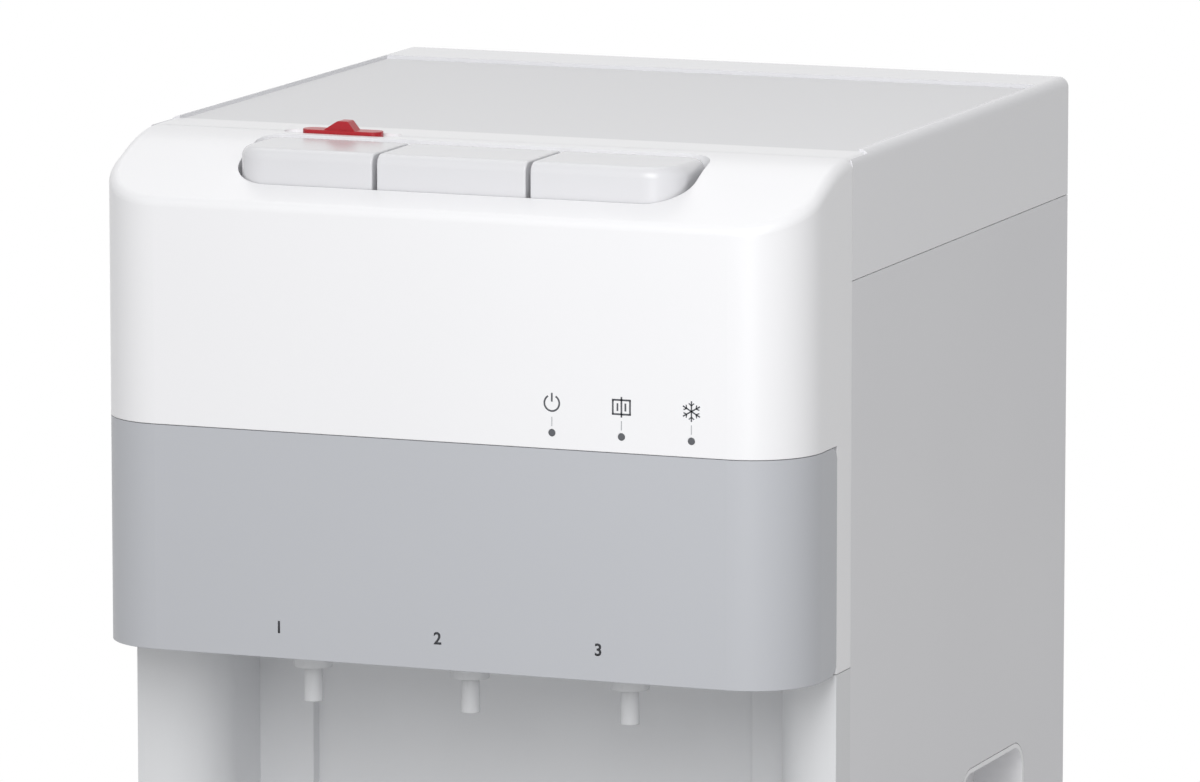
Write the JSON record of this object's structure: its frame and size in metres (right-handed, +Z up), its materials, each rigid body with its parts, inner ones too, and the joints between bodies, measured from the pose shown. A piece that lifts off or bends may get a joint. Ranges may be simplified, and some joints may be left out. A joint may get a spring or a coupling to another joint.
{
  "type": "bottom load water cooler",
  "caption": "Free-standing water cooler with top buttons over a niche with taps and a drip tray, and a door below over the bay for its bottle.",
  "frame": {"origin": "on the floor, in the middle of the overall footprint", "axes": "+Z up, +X to the object's right as seen from its front, the front faces -Y"},
  "size_m": [0.31, 0.36, 1.0451],
  "materials": {
    "white_abs": "satin moulded",
    "grey_abs": "satin moulded",
    "niche_grey": "satin moulded",
    "white_steel": "powder coated",
    "red_abs": "satin moulded",
    "tap_plastic": "moulded",
    "clear_plastic": "polished light pipe",
    "dark_plastic": "moulded",
    "natural_plastic": "moulded",
    "black_rubber": "moulded",
    "silicone": "extruded",
    "zinc_steel": "zinc plated",
    "stainless": "drawn",
    "black_steel": "black enamel",
    "copper": "drawn copper",
    "foam": "expanded foam",
    "circuit_board": "printed board",
    "mica_band": "clamped band",
    "magnet_black": "moulded",
    "blue_abs": "satin moulded"
  },
  "bodies": {
    "cabinet": {"base_plinth": "white_abs", "bay_deck": "zinc_steel", "bay_liner": "white_steel", "button_shaft": "stainless", "cabinet_screws": "zinc_steel", "cold_return_spring": "stainless", "cold_tank": "stainless", "cold_tank_insulation": "foam", "cold_tap": "tap_plastic", "compressor": "black_steel", "compressor_mounts": "black_rubber", "condenser": "black_steel", "control_board": "circuit_board", "door_catch_magnet": "magnet_black", "door_frame": "white_abs", "door_hinge_pins": "stainless", "drain_outlet": "natural_plastic", "evaporator_jacket": "copper", "front_band": "grey_abs", "head_shell": "white_abs", "hot_return_spring": "stainless", "hot_tank": "stainless", "hot_tank_heater_band": "mica_band", "hot_tap": "tap_plastic", "indicator_board": "circuit_board", "indicator_light_pipes": "clear_plastic", "left_carry_cup": "white_abs", "left_side_panel": "white_steel", "niche_ceiling": "niche_grey", "niche_surround": "niche_grey", "power_inlet": "dark_plastic", "rear_panel": "zinc_steel", "refrigerant_lines": "copper", "right_carry_cup": "white_abs", "right_side_panel": "white_steel", "rubber_feet": "black_rubber", "switch_frames": "dark_plastic", "tank_shelf": "zinc_steel", "top_cover": "white_steel", "tray_housing": "white_abs", "warm_return_spring": "stainless", "warm_tap": "tap_plastic", "water_hoses": "silicone", "water_pump": "dark_plastic"},
    "hot_button": {"hot_button": "white_abs"},
    "warm_button": {"warm_button": "white_abs"},
    "cold_button": {"cold_button": "white_abs"},
    "hot_push_rod": {"hot_push_rod": "natural_plastic"},
    "warm_push_rod": {"warm_push_rod": "natural_plastic"},
    "cold_push_rod": {"cold_push_rod": "natural_plastic"},
    "child_lock": {"child_lock_slider": "red_abs"},
    "door": {"door_outer_panel": "white_abs", "door_inner_panel": "white_abs", "strike_plate": "zinc_steel"},
    "drip_tray": {"drip_tray": "grey_abs"},
    "drip_grille": {"drip_grille": "grey_abs"},
    "bottle_probe": {"bottle_probe": "natural_plastic"},
    "drain_cap": {"drain_cap": "blue_abs"},
    "hot_switch": {"hot_switch_rocker": "red_abs"},
    "cold_switch": {"cold_switch_rocker": "blue_abs"}
  },
  "joints": [
    {"name": "hot_button_press", "type": "hinge", "parent": "cabinet", "child": "hot_button", "pos_m": [-0.0655, -0.1276, 1.031], "axis": [1, 0, 0], "range_deg": [0, 8], "stiffness_Nm_per_rad": 0.1, "springref_deg": -17.19},
    {"name": "warm_button_press", "type": "hinge", "parent": "cabinet", "child": "warm_button", "pos_m": [0, -0.1276, 1.031], "axis": [1, 0, 0], "range_deg": [0, 8], "stiffness_Nm_per_rad": 0.1, "springref_deg": -17.19},
    {"name": "cold_button_press", "type": "hinge", "parent": "cabinet", "child": "cold_button", "pos_m": [0.0655, -0.1276, 1.031], "axis": [1, 0, 0], "range_deg": [0, 8], "stiffness_Nm_per_rad": 0.1, "springref_deg": -17.19},
    {"name": "hot_rod_slide", "type": "slide", "parent": "cabinet", "child": "hot_push_rod", "axis": [0, 0, -1], "range_m": [0, 0.003], "deforming": ["hot_return_spring"]},
    {"name": "warm_rod_slide", "type": "slide", "parent": "cabinet", "child": "warm_push_rod", "axis": [0, 0, -1], "range_m": [0, 0.003], "deforming": ["warm_return_spring"]},
    {"name": "cold_rod_slide", "type": "slide", "parent": "cabinet", "child": "cold_push_rod", "axis": [0, 0, -1], "range_m": [0, 0.003], "deforming": ["cold_return_spring"]},
    {"name": "child_lock_slide", "type": "slide", "parent": "cabinet", "child": "child_lock", "axis": [1, 0, 0], "range_m": [0, 0.007]},
    {"name": "door_hinge", "type": "hinge", "parent": "cabinet", "child": "door", "pos_m": [-0.145, -0.16, 0.3], "axis": [0, 0, -1], "range_deg": [0, 110]},
    {"name": "drip_tray_slide", "type": "slide", "parent": "cabinet", "child": "drip_tray", "axis": [0, -1, 0], "range_m": [0, 0.1]},
    {"name": "grille_lift", "type": "slide", "parent": "drip_tray", "child": "drip_grille", "axis": [0, 0, 1], "range_m": [0, 0.03]},
    {"name": "probe_lift", "type": "slide", "parent": "cabinet", "child": "bottle_probe", "axis": [0, 0, 1], "range_m": [0, 0.04]},
    {"name": "drain_cap_off", "type": "slide", "parent": "cabinet", "child": "drain_cap", "axis": [0, 1, 0], "range_m": [0, 0.02]},
    {"name": "hot_switch_rock", "type": "hinge", "parent": "cabinet", "child": "hot_switch", "pos_m": [0.126, 0.164, 0.9], "axis": [-1, 0, 0], "range_deg": [0, 16]},
    {"name": "cold_switch_rock", "type": "hinge", "parent": "cabinet", "child": "cold_switch", "pos_m": [0.126, 0.164, 0.934], "axis": [-1, 0, 0], "range_deg": [0, 16]}
  ],
  "couplings": [
    {"joint": "hot_rod_slide", "follows": "hot_button_press", "m_per_rad": 0.019},
    {"joint": "warm_rod_slide", "follows": "warm_button_press", "m_per_rad": 0.019},
    {"joint": "cold_rod_slide", "follows": "cold_button_press", "m_per_rad": 0.019}
  ]
}
